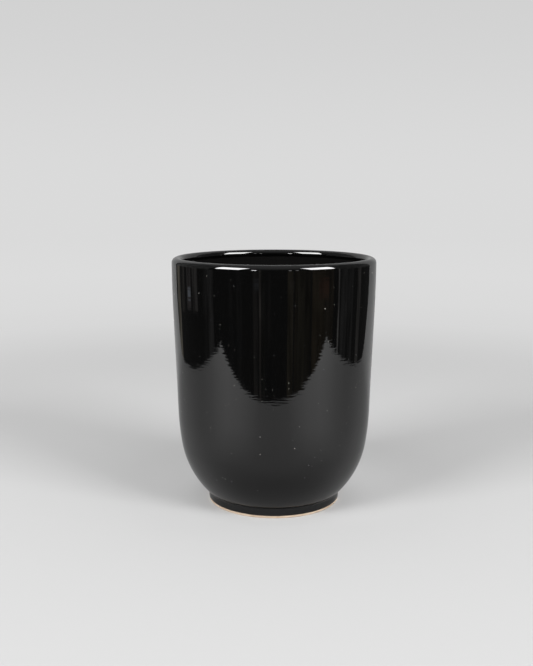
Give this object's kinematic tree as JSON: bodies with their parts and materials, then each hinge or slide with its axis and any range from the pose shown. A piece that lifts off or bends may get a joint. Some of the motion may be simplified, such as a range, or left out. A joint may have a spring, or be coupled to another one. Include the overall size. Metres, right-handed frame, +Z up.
{
  "type": "candle jar",
  "caption": "Open round ceramic jar with a rounded lower corner, a short foot ring, and black glaze inside and out, for pouring a candle in.",
  "frame": {"origin": "centre of the foot ring, on the surface that the jar stands on", "axes": "+Z up the jar's axis, from the foot to the mouth; the jar is round, so +X and +Y are any two level directions"},
  "size_m": [0.08, 0.08, 0.0979],
  "materials": {
    "bare_clay": "unglazed fired cream stoneware, matt and slightly gritty",
    "black_glaze": "high gloss black glaze with faint turning ripples, thinning to brown at the foot edge"
  },
  "bodies": {
    "root": {"clay_body": "bare_clay", "outer_glaze": "black_glaze", "liner_glaze": "black_glaze", "base_glaze": "black_glaze"}
  },
  "joints": []
}
